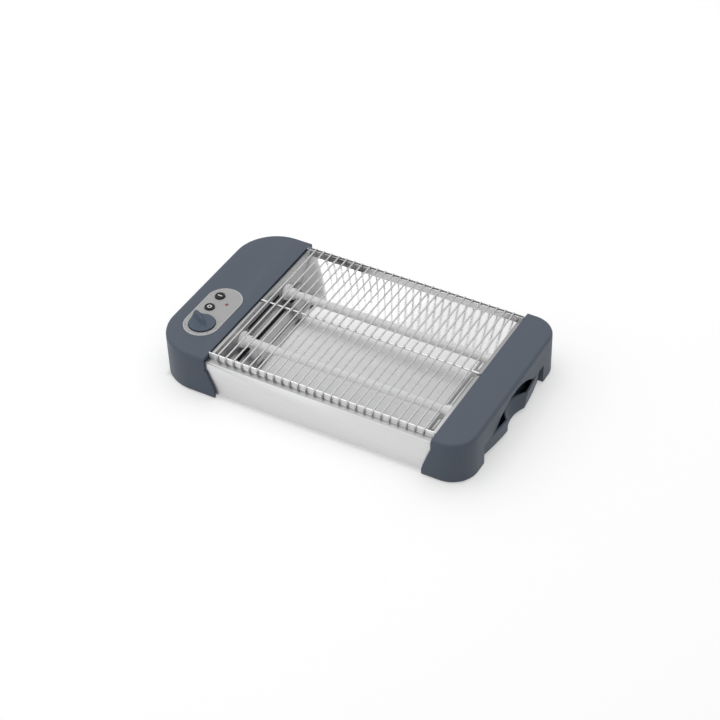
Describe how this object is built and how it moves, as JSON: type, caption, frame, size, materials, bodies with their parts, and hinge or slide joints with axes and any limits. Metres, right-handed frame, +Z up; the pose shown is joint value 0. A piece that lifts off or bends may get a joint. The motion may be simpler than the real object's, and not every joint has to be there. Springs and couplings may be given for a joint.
{
  "type": "flat toaster",
  "caption": "Flat toaster with plastic end caps, steel trough, wire rack over quartz tubes, timer knob, two push buttons and a pull-out crumb tray.",
  "frame": {"origin": "on the table under the middle of the outline", "axes": "+X from the control end to the tray end, +Y to the back, where the cord leaves, +Z up"},
  "size_m": [0.39, 0.232, 0.0645],
  "materials": {
    "cap_plastic": "slate blue-grey, fine matt grain",
    "fascia_plastic": "light warm grey, matt",
    "button_plastic": "black, glossy",
    "lamp_plastic": "dull red translucent lens",
    "sheet_steel": "bright satin stainless",
    "reflector_steel": "bright polished stainless",
    "wire_steel": "bright drawn wire",
    "quartz_glass": "milky quartz",
    "steatite": "white unglazed ceramic",
    "heating_wire": "dull heating wire",
    "terminal_brass": "bare brass",
    "lead_sleeve": "glass-fibre sleeve",
    "inner_plastic": "cream moulding",
    "dark_plastic": "black moulding",
    "rubber_black": "black rubber",
    "screw_steel": "zinc-plated",
    "shaft_steel": "turned steel"
  },
  "bodies": {
    "toaster": {"left_cap": "cap_plastic", "left_base_cover": "cap_plastic", "control_fascia": "fascia_plastic", "timer_body": "inner_plastic", "switch_block": "dark_plastic", "pilot_lamp_lens": "lamp_plastic", "lamp_holder": "dark_plastic", "right_cap": "cap_plastic", "terminal_cover": "cap_plastic", "front_panel": "sheet_steel", "rear_panel": "sheet_steel", "front_reflector": "reflector_steel", "rear_reflector": "reflector_steel", "left_end_plate": "sheet_steel", "right_end_plate": "sheet_steel", "rack_wires": "wire_steel", "rack_rod": "wire_steel", "quartz_tube_front": "quartz_glass", "quartz_tube_rear": "quartz_glass", "heating_coil_front": "heating_wire", "heating_coil_rear": "heating_wire", "ceramic_front_left": "steatite", "ceramic_rear_left": "steatite", "ceramic_front_right": "steatite", "ceramic_rear_right": "steatite", "tube_terminals": "terminal_brass", "link_lead": "lead_sleeve", "terminal_block": "inner_plastic", "thermal_fuse": "shaft_steel", "inner_leads": "lead_sleeve", "cord_gland": "rubber_black", "rubber_feet": "rubber_black", "cover_screws": "screw_steel"},
    "timer": {"timer_knob": "cap_plastic", "timer_shaft": "shaft_steel"},
    "on_key": {"on_button": "button_plastic"},
    "off_key": {"off_button": "button_plastic"},
    "tray": {"crumb_tray": "sheet_steel", "tray_pull": "cap_plastic"}
  },
  "joints": [
    {"name": "timer_turn", "type": "hinge", "parent": "toaster", "child": "timer", "pos_m": [-0.1575, -0.06554, 0.0525], "axis": [0, 0, -1], "range_deg": [0, 270]},
    {"name": "on_press", "type": "slide", "parent": "toaster", "child": "on_key", "axis": [0, 0, -1], "range_m": [0, 0.0015], "stiffness_N_per_m": 400, "springref_m": -0.002},
    {"name": "off_press", "type": "slide", "parent": "toaster", "child": "off_key", "axis": [0, 0, -1], "range_m": [0, 0.0015], "stiffness_N_per_m": 400, "springref_m": -0.002},
    {"name": "tray_slide", "type": "slide", "parent": "toaster", "child": "tray", "axis": [1, 0, 0], "range_m": [0, 0.25]}
  ]
}
